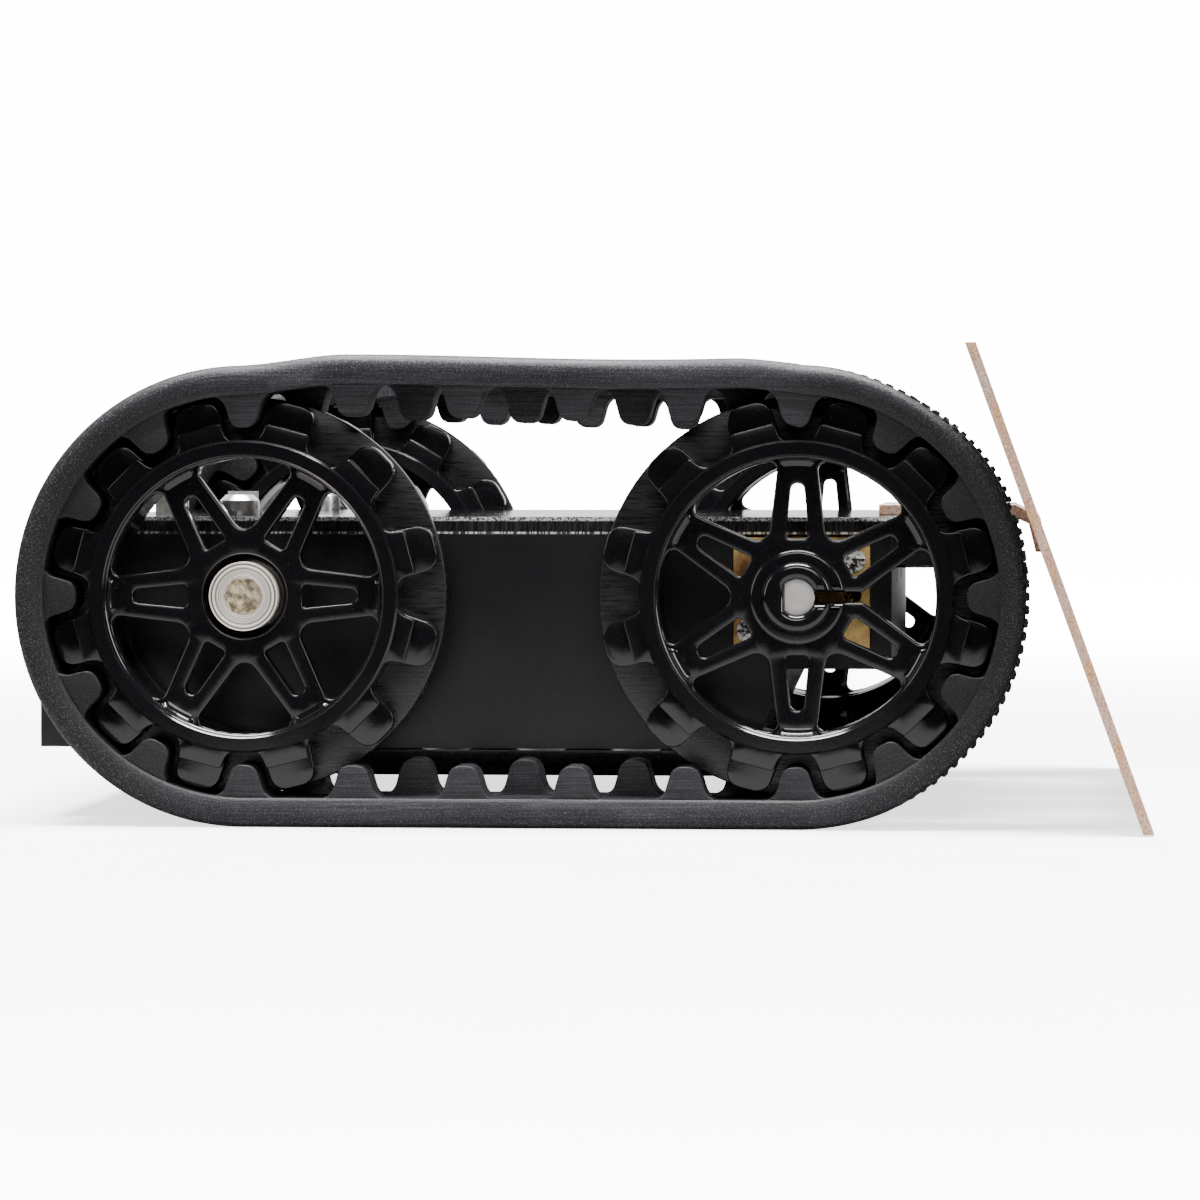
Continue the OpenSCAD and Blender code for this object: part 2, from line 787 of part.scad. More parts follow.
main_body();
top_plate();
battery_cover();
battery_terminals();
battery_links();
battery_springs();
blade();
track();  // track_right
mirror([0, 1, 0]) track();  // track_left
drive_sprocket();  // drive_sprocket_right
mirror([0, 1, 0]) drive_sprocket();  // drive_sprocket_left
idler_sprocket();  // idler_sprocket_right
mirror([0, 1, 0]) idler_sprocket();  // idler_sprocket_left
shoulder_bolts();
idler_washers();
idler_nuts();
plate_screws();
blade_nuts();
gearbox_outer_plate();  // gearbox_outer_plate_right
mirror([0, 1, 0]) gearbox_outer_plate();  // gearbox_outer_plate_left
gearbox_motor_plate();  // gearbox_motor_plate_right
mirror([0, 1, 0]) gearbox_motor_plate();  // gearbox_motor_plate_left
gearbox_spacers();  // gearbox_spacers_right
mirror([0, 1, 0]) gearbox_spacers();  // gearbox_spacers_left
gearbox_screws();  // gearbox_screws_right
mirror([0, 1, 0]) gearbox_screws();  // gearbox_screws_left
layshaft();  // layshaft_right
mirror([0, 1, 0]) layshaft();  // layshaft_left
output_shaft();  // output_shaft_right
mirror([0, 1, 0]) output_shaft();  // output_shaft_left
output_gear();  // output_gear_right
mirror([0, 1, 0]) output_gear();  // output_gear_left
third_gear();  // third_gear_right
mirror([0, 1, 0]) third_gear();  // third_gear_left
second_gear();  // second_gear_right
mirror([0, 1, 0]) second_gear();  // second_gear_left
first_gear();  // first_gear_right
mirror([0, 1, 0]) first_gear();  // first_gear_left
motor_pinion();  // motor_pinion_right
mirror([0, 1, 0]) motor_pinion();  // motor_pinion_left
armature();  // armature_right
mirror([0, 1, 0]) armature();  // armature_left
motor_can();  // motor_can_right
mirror([0, 1, 0]) motor_can();  // motor_can_left
motor_magnets();  // motor_magnets_right
mirror([0, 1, 0]) motor_magnets();  // motor_magnets_left
motor_end_cap();  // motor_end_cap_right
mirror([0, 1, 0]) motor_end_cap();  // motor_end_cap_left
motor_terminals();  // motor_terminals_right
mirror([0, 1, 0]) motor_terminals();  // motor_terminals_left
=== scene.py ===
"""Looks of the tracked tank chassis: detailed wheels, tracks and metal parts round the CAD frame."""
import json
from math import atan2, cos, hypot, pi, radians, sin, tan

import bmesh
import bpy
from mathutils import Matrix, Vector
from mathutils.geometry import delaunay_2d_cdt


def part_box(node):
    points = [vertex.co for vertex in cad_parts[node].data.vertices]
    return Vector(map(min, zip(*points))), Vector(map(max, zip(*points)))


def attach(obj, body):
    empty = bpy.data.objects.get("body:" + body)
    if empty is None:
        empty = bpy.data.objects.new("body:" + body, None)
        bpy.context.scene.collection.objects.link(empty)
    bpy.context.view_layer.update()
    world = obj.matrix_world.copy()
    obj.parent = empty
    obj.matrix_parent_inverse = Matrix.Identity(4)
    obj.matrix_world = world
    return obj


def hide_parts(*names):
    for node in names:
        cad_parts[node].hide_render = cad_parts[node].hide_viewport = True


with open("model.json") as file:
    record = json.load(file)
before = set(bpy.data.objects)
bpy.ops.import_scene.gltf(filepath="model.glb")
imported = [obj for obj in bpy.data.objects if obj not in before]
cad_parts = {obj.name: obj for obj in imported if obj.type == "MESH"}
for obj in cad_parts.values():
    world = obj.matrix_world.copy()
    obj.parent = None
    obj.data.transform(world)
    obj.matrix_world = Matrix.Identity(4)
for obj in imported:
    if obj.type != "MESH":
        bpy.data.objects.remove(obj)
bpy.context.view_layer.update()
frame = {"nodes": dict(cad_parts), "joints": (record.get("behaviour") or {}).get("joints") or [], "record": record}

MM = 0.001
SIDES = {"right": -1, "left": 1}

# ---------- sizes, worked out from the frame ----------

JOINTS = {j["name"]: j for j in frame["joints"]}
FRONT_X = JOINTS["drive_spin_right"]["pos_m"][0] / MM
REAR_X = JOINTS["idler_spin_right"]["pos_m"][0] / MM
AXLE_Z = JOINTS["drive_spin_right"]["pos_m"][2] / MM
SPACING = FRONT_X - REAR_X


def span(node, axis):
    """Lowest and highest place of a node along one axis, in millimetres."""
    low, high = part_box(node)
    return low[axis] / MM, high[axis] / MM


def outward(node):
    """Nearest and furthest distance of a right-hand node from the middle plane, in millimetres."""
    low, high = span(node, 1)
    return -high, -low


# the wheels and the track's width: distances from the middle plane, half widths and a radius
TRACK_IN, TRACK_OUT = outward("track_right")
TRACK_MID = (TRACK_IN + TRACK_OUT) / 2
HALF_TRACK = (TRACK_OUT - TRACK_IN) / 2
DRUM_HALF = outward("idler_sprocket_right")[1] - TRACK_MID
DISC_R = (span("drive_sprocket_right", 2)[1] - span("drive_sprocket_right", 2)[0]) / 2
BLOCKS = 12
SPOKES = 6
BLOCK_STEP = 360 / BLOCKS

# the track, as radii from the axle and as pitches along its loop
BAR_TOP = AXLE_Z - 0.01
BAND_OUTER = AXLE_Z - 0.3
BAND_INNER = AXLE_Z - 2.55
STRAIGHT_PITCHES = 5
TURN_PITCHES = 6
PITCH = SPACING / STRAIGHT_PITCHES
LOOP_PITCHES = 2 * (STRAIGHT_PITCHES + TURN_PITCHES)


# ---------- camera, first ----------

def make_camera():
    """Stands half a metre from the right side and looks slightly down and back."""
    data = bpy.data.cameras.new("camera")
    data.lens = 157.8
    data.sensor_width = 36
    data.clip_end = 50
    camera = bpy.data.objects.new("camera", data)
    bpy.context.scene.collection.objects.link(camera)
    camera.location = (37.2 * MM, -494.4 * MM, 32.1 * MM)
    yaw, pitch = radians(4.48), radians(1.56)
    aim = Vector((-sin(yaw) * cos(pitch), cos(yaw) * cos(pitch), -sin(pitch)))
    camera.rotation_euler = aim.to_track_quat("-Z", "Y").to_euler()
    bpy.context.scene.camera = camera


make_camera()


# ---------- materials ----------

def new_material(name, color, roughness, metallic=0.0, specular=0.5):
    material = bpy.data.materials.new(name)
    material.use_nodes = True
    shader = material.node_tree.nodes["Principled BSDF"]
    shader.inputs["Base Color"].default_value = (*color, 1)
    shader.inputs["Roughness"].default_value = roughness
    shader.inputs["Metallic"].default_value = metallic
    shader.inputs["Specular IOR Level"].default_value = specular
    return material, material.node_tree, shader


def shade(color, factor):
    return tuple(c * factor for c in color)


def object_place(tree):
    return tree.nodes.new("ShaderNodeTexCoord").outputs["Object"]


def place_of(tree, stretch=(1, 1, 1), turn=(0, 0, 0)):
    mapping = tree.nodes.new("ShaderNodeMapping")
    mapping.inputs["Scale"].default_value = stretch
    mapping.inputs["Rotation"].default_value = turn
    tree.links.new(object_place(tree), mapping.inputs["Vector"])
    return mapping.outputs["Vector"]


def parts_of(tree, place):
    parts = tree.nodes.new("ShaderNodeSeparateXYZ")
    tree.links.new(place, parts.inputs["Vector"])
    return parts.outputs


def noise(tree, place, scale, detail=3.0, roughness=0.55):
    node = tree.nodes.new("ShaderNodeTexNoise")
    node.inputs["Scale"].default_value = scale
    node.inputs["Detail"].default_value = detail
    node.inputs["Roughness"].default_value = roughness
    tree.links.new(place, node.inputs["Vector"])
    return node.outputs["Fac"]


def ramp(tree, value, stops):
    """Colour ramp through (position, colour or grey) stops."""
    node = tree.nodes.new("ShaderNodeValToRGB")
    elements = node.color_ramp.elements
    while len(elements) < len(stops):
        elements.new(0.5)
    for element, (position, color) in zip(elements, stops):
        element.position = position
        element.color = (*color, 1) if hasattr(color, "__len__") else (color, color, color, 1)
    tree.links.new(value, node.inputs["Fac"])
    return node.outputs["Color"]


def math_of(tree, operation, one, two=None):
    """Math on a socket's value; a number fills the second input, a socket is linked to it."""
    node = tree.nodes.new("ShaderNodeMath")
    node.operation = operation
    tree.links.new(one, node.inputs[0])
    if isinstance(two, float):
        node.inputs[1].default_value = two
    elif two is not None:
        tree.links.new(two, node.inputs[1])
    return node.outputs["Value"]


def vector_math(tree, operation, one, two=None):
    """Math on a socket's vector; a tuple fills the second input, a socket is linked to it."""
    node = tree.nodes.new("ShaderNodeVectorMath")
    node.operation = operation
    tree.links.new(one, node.inputs[0])
    if isinstance(two, tuple):
        node.inputs[1].default_value = two
    elif two is not None:
        tree.links.new(two, node.inputs[1])
    return node.outputs["Value" if operation == "LENGTH" else "Vector"]


def map_of(tree, value, near, far, low=0.0, high=1.0, smooth=False):
    """Maps near..far onto low..high, and holds the ends."""
    node = tree.nodes.new("ShaderNodeMapRange")
    if smooth:
        node.interpolation_type = "SMOOTHERSTEP"
    for socket, number in (("From Min", near), ("From Max", far), ("To Min", low), ("To Max", high)):
        node.inputs[socket].default_value = number
    tree.links.new(value, node.inputs["Value"])
    return node.outputs["Result"]


def mix_of(tree, mode, factor, one, two):
    """Blends two colours; the factor is a number or a socket."""
    node = tree.nodes.new("ShaderNodeMix")
    node.data_type = "RGBA"
    node.blend_type = mode
    if isinstance(factor, float):
        node.inputs["Factor"].default_value = factor
    else:
        tree.links.new(factor, node.inputs["Factor"])
    tree.links.new(one, node.inputs["A"])
    tree.links.new(two, node.inputs["B"])
    return node.outputs["Result"]


def bump(tree, shader, height, strength, distance, under=None):
    node = tree.nodes.new("ShaderNodeBump")
    node.inputs["Strength"].default_value = strength
    node.inputs["Distance"].default_value = distance
    tree.links.new(height, node.inputs["Height"])
    if under:
        tree.links.new(under, node.inputs["Normal"])
    tree.links.new(node.outputs["Normal"], shader.inputs["Normal"])
    return node.outputs["Normal"]


def dress(tree, shader, color, roughness):
    """Links a colour and a roughness to the shader."""
    tree.links.new(color, shader.inputs["Base Color"])
    tree.links.new(roughness, shader.inputs["Roughness"])


def moulded_plastic(name, color, low, high, grain=0.25):
    """Glossy moulding: faint flow marks, dust specks and a fine grain."""
    material, tree, shader = new_material(name, color, high)
    place = place_of(tree)
    flow = noise(tree, place, 120, 2)
    specks = noise(tree, place, 5200, 1)
    pale = tuple(min(1, c * 3.2 + 0.01) for c in color)
    dust_and_glints = ramp(tree, specks, [(0.0, color), (0.72, color), (0.8, pale)])
    dress(tree, shader, dust_and_glints, ramp(tree, flow, [(0.2, low), (0.8, high)]))
    bump(tree, shader, noise(tree, place, 2600, 3), grain, 0.00003)
    return material


def milled_plastic(name, color):
    """The wheel disc's flats: fine parallel tool marks left in the mould."""
    material, tree, shader = new_material(name, color, 0.3)
    marks = noise(tree, place_of(tree, (0.12, 1, 1.6), (0, radians(12), 0)), 2600, 4, 0.7)
    dress(tree, shader, ramp(tree, marks, [(0.42, color), (0.66, shade(color, 2.2))]),
          ramp(tree, marks, [(0.3, 0.2), (0.7, 0.42)]))
    bump(tree, shader, marks, 0.3, 0.00004)
    return material


def belt_radius(tree, place):
    """Distance from the line or arc that the belt runs round, and how far past an axle."""
    parts = parts_of(tree, place)
    along = math_of(tree, "ABSOLUTE", math_of(tree, "SUBTRACT", parts["X"], (FRONT_X + REAR_X) / 2 * MM))
    beyond = math_of(tree, "MAXIMUM", math_of(tree, "SUBTRACT", along, SPACING / 2 * MM), 0.0)
    height = math_of(tree, "SUBTRACT", parts["Z"], AXLE_Z * MM)
    squares = math_of(tree, "ADD", math_of(tree, "MULTIPLY", beyond, beyond),
                      math_of(tree, "MULTIPLY", height, height))
    return math_of(tree, "SQRT", squares), beyond


def silicone(name, color):
    """Matte rubber: painted glints in the grain, brighter towards the rims where light catches them, and pale
    streaks along the straight runs.
    """
    material, tree, shader = new_material(name, color, 0.5, specular=0.3)
    place = object_place(tree)
    radius, beyond = belt_radius(tree, place)
    slow = vector_math(tree, "MULTIPLY", place, (0.035, 0.035, 0.035))
    streaks = noise(tree, vector_math(tree, "ADD", slow, radius), 4200, 3, 0.7)
    glints = noise(tree, place, 6800, 2, 0.7)
    patches = noise(tree, place, 170, 3)
    # Painted glints: bright specks in the grain, made brighter towards the outer rim, which catches the light.
    sparkle = ramp(tree, glints, [(0.0, color), (0.52, color), (0.72, shade(color, 36))])
    dust_and_glints = mix_of(tree, "MULTIPLY", 1.0, sparkle,
                   map_of(tree, radius, BAND_INNER * MM, BAND_OUTER * MM, 0.3, 1.0))
    streaky = ramp(tree, streaks, [(0.4, shade(color, 2)), (0.64, shade(color, 12))])
    straight = map_of(tree, beyond, 0.0, 0.012, 1.0, 0.0)
    amount = math_of(tree, "MULTIPLY", straight, ramp(tree, patches, [(0.35, 0.5), (0.6, 1.0)]))
    dress(tree, shader, mix_of(tree, "ADD", amount, dust_and_glints, streaky),
          ramp(tree, patches, [(0.3, 0.4), (0.75, 0.62)]))
    fine = bump(tree, shader, glints, 0.7, 0.00006)
    bump(tree, shader, streaks, 0.35, 0.00006, fine)
    return material


def metal(name, color, low, high, stretch=(1, 1, 1), scale=1800, depth=0.00003, tint=None, strength=0.3,
          patch_scale=330, patch_range=(0.35, 0.7)):
    """Bare metal with directional grain; tint is the colour of its darker patches: painted shade on the brass
    plates, painted shade and reflection on the gearbox screws, stains on the rest.
    """
    material, tree, shader = new_material(name, color, high, metallic=1.0)
    grain = noise(tree, place_of(tree, stretch), scale, 4, 0.65)
    stains_and_shade = noise(tree, place_of(tree), patch_scale, 3)
    stops = zip(patch_range, (color, tint or shade(color, 0.82)))
    dress(tree, shader, ramp(tree, stains_and_shade, list(stops)), ramp(tree, grain, [(0.3, low), (0.7, high)]))
    bump(tree, shader, grain, strength, depth)
    return material


def sheared_edge(name):
    """The blade's cut edge: grainy, pinkish beige, with gold and violet heat marks."""
    material, tree, shader = new_material(name, (0.5, 0.4, 0.34), 0.5, metallic=0.75)
    grains = noise(tree, place_of(tree), 5200, 3, 0.7)
    patches = noise(tree, place_of(tree, (1, 1, 0.35)), 700, 3)
    base = ramp(tree, grains, [(0.3, (0.34, 0.26, 0.21)), (0.5, (0.66, 0.54, 0.46)),
                               (0.72, (0.92, 0.83, 0.75))])
    heat = ramp(tree, patches, [(0.35, (0.9, 0.76, 0.69)), (0.52, (0.9, 0.64, 0.54)),
                                (0.66, (0.98, 0.62, 0.32))])
    tree.links.new(mix_of(tree, "MULTIPLY", 0.9, base, heat), shader.inputs["Base Color"])
    bump(tree, shader, grains, 0.7, 0.00008)
    return material


def turned_metal(name, color, axle_x, axle_z, low, high, groove, scale=5200, strength=0.5, socket=None):
    """Metal turned on a lathe: rings round the wheel's axle; a socket's colour fills its middle, mottled darker as
    painted shade in the recess over gold debris.
    """
    material, tree, shader = new_material(name, color, high, metallic=1.0)
    place = object_place(tree)
    off_axle = vector_math(tree, "SUBTRACT", place, (axle_x * MM, 0, axle_z * MM))
    radius = vector_math(tree, "LENGTH", vector_math(tree, "MULTIPLY", off_axle, (1, 0, 1)))
    rings = tree.nodes.new("ShaderNodeTexNoise")
    rings.noise_dimensions = "1D"
    rings.inputs["Scale"].default_value = scale
    rings.inputs["Detail"].default_value = 3
    tree.links.new(radius, rings.inputs["W"])
    tinted = ramp(tree, rings.outputs["Fac"], [(0.38, shade(color, groove)), (0.58, color)])
    if socket:
        edge, inner = socket
        outside = map_of(tree, radius, edge * MM, (edge + 0.1) * MM)
        # Socket: the dark mottling is painted shade in the recess; the gold is debris colour.
        shade_and_debris = ramp(tree, noise(tree, place, 1400, 3), [(0.4, shade(inner, 0.25)), (0.6, inner)])
        tinted = mix_of(tree, "MIX", outside, shade_and_debris, tinted)
    dress(tree, shader, tinted, ramp(tree, rings.outputs["Fac"], [(0.3, low), (0.7, high)]))
    bump(tree, shader, rings.outputs["Fac"], strength, 0.00008)
    return material


def cut_acrylic(name):
    """Black acrylic's laser-cut edge: upright striations under a speckled painted highlight along the top, over a
    dashed painted highlight along the bottom.
    """
    black = (0.008, 0.008, 0.009)
    material, tree, shader = new_material(name, black, 0.2)
    bottom, top = span("top_plate", 2)
    level = map_of(tree, parts_of(tree, object_place(tree))["Z"], bottom * MM, top * MM)
    lines = noise(tree, place_of(tree, (1, 1, 0.05)), 4800, 4, 0.75)
    highlight_specks = noise(tree, place_of(tree), 7000, 2)
    dashes = noise(tree, place_of(tree, (1, 1, 0.02)), 4200, 2)
    # Painted highlights: a speckled line along the top of the edge and a dashed line along its bottom, where the
    # chamfers catch the top light.
    top_line = ramp(tree, level, [(0.74, 0.0), (0.8, 1.0), (0.94, 1.0), (1.0, 0.3)])
    bottom_line = ramp(tree, level, [(0.04, 0.0), (0.07, 1.0), (0.15, 1.0), (0.19, 0.0)])
    top_highlight = mix_of(tree, "MULTIPLY", 1.0, top_line, ramp(tree, highlight_specks, [(0.4, 0.06), (0.58, 0.95)]))
    glinting = mix_of(tree, "MULTIPLY", 1.0, bottom_line, ramp(tree, dashes, [(0.48, 0.06), (0.58, 1.0)]))
    striped = ramp(tree, lines, [(0.35, black), (0.75, (0.03, 0.032, 0.036))])
    lined = mix_of(tree, "ADD", 1.0, mix_of(tree, "ADD", 1.0, striped, top_highlight), glinting)
    dress(tree, shader, lined, ramp(tree, lines, [(0.35, 0.15), (0.7, 0.4)]))
    bump(tree, shader, lines, 0.35, 0.00005)
    return material


body_black = moulded_plastic("body_black", (0.0068, 0.0074, 0.0094), 0.27, 0.33)
wheel_black = moulded_plastic("wheel_black", (0.0042, 0.0042, 0.005), 0.08, 0.18, 0.12)
wheel_flats = milled_plastic("wheel_flats", (0.0062, 0.0064, 0.0078))
track_rubber = silicone("track_rubber", (0.0022, 0.0022, 0.0026))
acrylic = cut_acrylic("acrylic")
deck_face = moulded_plastic("deck_face", (0.004, 0.004, 0.0045), 0.05, 0.1, 0.05)
steel_sheet = metal("steel_sheet", (0.66, 0.62, 0.57), 0.5, 0.6, (1, 1, 0.12), 2600,
                    tint=(0.58, 0.53, 0.47), strength=0.05)
blade_edge = sheared_edge("blade_edge")
bright_steel = metal("bright_steel", (0.8, 0.79, 0.77), 0.25, 0.4, scale=2400, strength=0.08)
bolt_steel = turned_metal("bolt_steel", (0.98, 0.88, 0.8), REAR_X, AXLE_Z, 0.35, 0.55, 0.3,
                          socket=(1.5, (0.98, 0.84, 0.6)))
shaft_steel = turned_metal("shaft_steel", (0.74, 0.71, 0.68), FRONT_X, AXLE_Z, 0.35, 0.5, 0.78, 9500, 0.15)
# Dark brown patches on the brass: painted shade standing in for the plates' shading from bright gold to brown.
brass = metal("brass", (0.98, 0.68, 0.27), 0.3, 0.46, (1, 1, 0.3), 2200, tint=(0.26, 0.12, 0.05),
              patch_scale=300, patch_range=(0.38, 0.66))
# Near-black blotches on the gearbox screw heads: painted shade and reflection for their slotted, shiny domes.
shade_blotched_steel = metal("shade_blotched_steel", (0.8, 0.78, 0.74), 0.2, 0.4, scale=2400, depth=0.0001,
                   tint=(0.05, 0.045, 0.04), strength=0.8, patch_scale=1900, patch_range=(0.46, 0.56))
gear_brass = metal("gear_brass", (0.78, 0.58, 0.27), 0.2, 0.35, scale=2500)
can_steel = metal("can_steel", (0.62, 0.62, 0.62), 0.2, 0.34, (0.2, 1, 1), 1500)
contact_metal = metal("contact_metal", (0.8, 0.78, 0.72), 0.3, 0.45, (1, 0.2, 1), 1800, strength=0.1)
copper = metal("copper", (0.72, 0.34, 0.18), 0.22, 0.4, (0.15, 1, 1), 3200, 0.00008)
magnet = metal("magnet", (0.06, 0.06, 0.065), 0.5, 0.7)
white_nylon = moulded_plastic("white_nylon", (0.78, 0.77, 0.73), 0.38, 0.5)

SLOT_MATERIAL = {
    "moulded_black": body_black, "acrylic": acrylic, "silicone": track_rubber,
    "sprocket_black": wheel_black, "stainless_sheet": steel_sheet, "bolt_steel": bolt_steel,
    "fastener_steel": bright_steel, "shaft_steel": shaft_steel, "brass_plate": brass,
    "gear_brass": gear_brass, "can_steel": can_steel, "contact_metal": contact_metal,
    "white_nylon": white_nylon, "copper_winding": copper, "magnet": magnet,
}


# ---------- outlines and solids, in millimetres ----------
# A point is (x, z) in side view. A place along a wheel's axle is w, the distance outwards
# from the chassis's middle plane.

def smooth_step(low, high, value):
    t = min(1, max(0, (value - low) / (high - low)))
    return t * t * (3 - 2 * t)


def polar(radius, degrees):
    return radius * cos(radians(degrees)), radius * sin(radians(degrees))


def ring_points(radius, count=96):
    return [(radius * cos(2 * pi * i / count), radius * sin(2 * pi * i / count)) for i in range(count)]


def rounded(corners, steps=5):
    """Closed outline through (x, z, radius) corners, each rounded by an arc."""
    points = []
    count = len(corners)
    for i, (x, z, radius) in enumerate(corners):
        before = Vector(corners[i - 1][:2])
        after = Vector(corners[(i + 1) % count][:2])
        here = Vector((x, z))
        to_before, to_after = (before - here), (after - here)
        if radius <= 0 or to_before.length < 1e-6 or to_after.length < 1e-6:
            points.append((x, z))
            continue
        a, b = to_before.normalized(), to_after.normalized()
        half = a.angle(b) / 2
        if half > pi / 2 - 0.03 or half < 0.02:
            points.append((x, z))
            continue
        reach = min(radius / tan(half), 0.49 * to_before.length, 0.49 * to_after.length)
        radius = reach * tan(half)
        middle = here + (a + b).normalized() * (radius / sin(half))
        start, end = here + a * reach - middle, here + b * reach - middle
        sweep = atan2(start.x * end.y - start.y * end.x, start.dot(end))
        for k in range(steps + 1):
            turn = sweep * k / steps
            points.append((middle.x + start.x * cos(turn) - start.y * sin(turn),
                           middle.y + start.x * sin(turn) + start.y * cos(turn)))
    return points


def turned(points, degrees):
    c, s = cos(radians(degrees)), sin(radians(degrees))
    return [(x * c - z * s, x * s + z * c) for x, z in points]


def signed_area(points):
    return sum(a[0] * b[1] - b[0] * a[1] for a, b in zip(points, points[1:] + points[:1])) / 2


def inset(points, distance):
    """Moves an outline to its left by a distance, with mitred corners."""
    moved = []
    count = len(points)
    for i in range(count):
        here = Vector(points[i])
        one = (here - Vector(points[i - 1])).normalized()
        two = (Vector(points[(i + 1) % count]) - here).normalized()
        left_one, left_two = Vector((-one.y, one.x)), Vector((-two.y, two.x))
        shift = (left_one + left_two) * (distance / max(0.4, 1 + left_one.dot(left_two)))
        moved.append((here.x + shift.x, here.y + shift.y))
    return moved


def inside(x, z, loops):
    """Whether a point is inside an odd number of closed outlines."""
    odd = False
    for points in loops:
        for (x1, z1), (x2, z2) in zip(points, points[1:] + points[:1]):
            if (z1 > z) != (z2 > z) and x < (x2 - x1) * (z - z1) / (z2 - z1) + x1:
                odd = not odd
    return odd


def cap_triangles(loops):
    """Triangles between an outer outline and its holes, as indices into the joined points."""
    points = [Vector(p) for points in loops for p in points]
    edges, start = [], 0
    for loop_points in loops:
        count = len(loop_points)
        edges += [(start + i, start + (i + 1) % count) for i in range(count)]
        start += count
    vertices, _, faces, originals, _, _ = delaunay_2d_cdt(points, edges, [], 0, 1e-6)
    triangles = []
    for face in faces:
        x = sum(vertices[i].x for i in face) / 3
        z = sum(vertices[i].y for i in face) / 3
        if inside(x, z, loops) and all(originals[i] for i in face):
            triangles.append([originals[i][0] for i in face])
    return triangles


def add_slab(bm, outlines, low, high, bevel=0.15, material=0, segments=3):
    """Adds the flat solid between two places along w, with rounded edges; later outlines are holes."""
    loops = [points if (signed_area(points) > 0) == (i == 0) else points[::-1]
             for i, points in enumerate(outlines)]
    turns = [pi / 2 * k / segments for k in range(segments + 1)]
    rounding = [(bevel * (1 - sin(t)), bevel * (1 - cos(t))) for t in turns]
    levels = [(side_in, low + rise) for side_in, rise in rounding]
    levels += [(side_in, high - rise) for side_in, rise in reversed(rounding)]
    rings = []
    for distance, w in levels:
        ring = []
        for points in loops:
            ring.append([bm.verts.new((x, w, z)) for x, z in inset(points, distance)])
        rings.append(ring)
    for here, following in zip(rings, rings[1:]):
        for one, two in zip(here, following):
            for i in range(len(one)):
                j = (i + 1) % len(one)
                face = bm.faces.new((one[i], one[j], two[j], two[i]))
                face.material_index = material
                face.smooth = True
    triangles = cap_triangles([inset(points, bevel) for points in loops])
    for ring, flip in ((rings[0], False), (rings[-1], True)):
        joined = [v for points in ring for v in points]
        for triangle in triangles:
            corners = [joined[i] for i in (triangle[::-1] if flip else triangle)]
            if len(set(corners)) == 3:
                bm.faces.new(corners).material_index = material


def join_rings(bm, rings):
    """Smooth faces between each closed section and the next, and from the last to the first."""
    for here, following in zip(rings, rings[1:] + rings[:1]):
        for k in range(len(here)):
            m = (k + 1) % len(here)
            bm.faces.new((here[k], here[m], following[m], following[k])).smooth = True


def add_lathe(bm, profile, steps=72):
    """Adds the solid swept by a closed (radius, w) profile round the axle."""
    rings = []
    for i in range(steps):
        c, s = cos(2 * pi * i / steps), sin(2 * pi * i / steps)
        rings.append([bm.verts.new((r * c, w, r * s)) for r, w in profile])
    join_rings(bm, rings)


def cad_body(node):
    return next(body for body, nodes in frame["record"]["behaviour"]["bodies"].items() if node in nodes)


def finish_piece(bm, name, side, centre, materials, node, smooth=32):
    """Moves an (x, w, z) mesh into the frame, in metres, and rides it on its node's body."""
    bmesh.ops.recalc_face_normals(bm, faces=bm.faces)
    for vertex in bm.verts:
        x, w, z = vertex.co
        vertex.co = ((x + centre[0]) * MM, side * w * MM, (z + centre[1]) * MM)
    bmesh.ops.recalc_face_normals(bm, faces=bm.faces)
    mesh = bpy.data.meshes.new(name)
    bm.to_mesh(mesh)
    bm.free()
    for material in materials:
        mesh.materials.append(material)
    mesh.set_sharp_from_angle(angle=radians(smooth))
    piece = bpy.data.objects.new(name, mesh)
    bpy.context.scene.collection.objects.link(piece)
    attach(piece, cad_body(node))
    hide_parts(node)


# ---------- wheels ----------

# radii from the axle
HUB_HOLE = 3.4
WINDOW_OUTER = 11.95
RIM_INNER = 12.0
RIM_JOIN = 12.2
RIM_OUTER = 13.55
BLOCK_ROOT = 13.4
SHALLOW_BLOCK_TOP = 15.0

# distances from the middle of the track, along the axle
DISC_HALF = 0.6
WEB_BACK = 1.9
WEB_FACE = 3.7
DEEP_BLOCK_FACE = 3.55
SHALLOW_BLOCK_FACE = 4.6

BLOCK_HALF_WIDTH = 1.9
BLOCK_FLARE = 0.25
SPOKE_HALF_WIDTH = 1.65
SPOKE_TAPER = 0.118
LINING_FILLET = 1.0
HUB_SLIT = 0.95


def block_outline(top, phase, corner):
    """Ring of tooth blocks with rounded heads and filleted roots."""
    corners = []
    foot = BLOCK_HALF_WIDTH + BLOCK_FLARE
    for i in range(BLOCKS):
        turn = phase + i * BLOCK_STEP
        flank = [(BLOCK_ROOT, -foot, 1.1), (top, -BLOCK_HALF_WIDTH, corner),
                 (top, BLOCK_HALF_WIDTH, corner), (BLOCK_ROOT, foot, 1.1)]
        for r, across, radius in flank:
            x, z = turned([(r, across)], turn)[0]
            corners.append((x, z, radius))
        x, z = polar(BLOCK_ROOT, turn + BLOCK_STEP / 2)
        corners.append((x, z, 0))
    return rounded(corners)


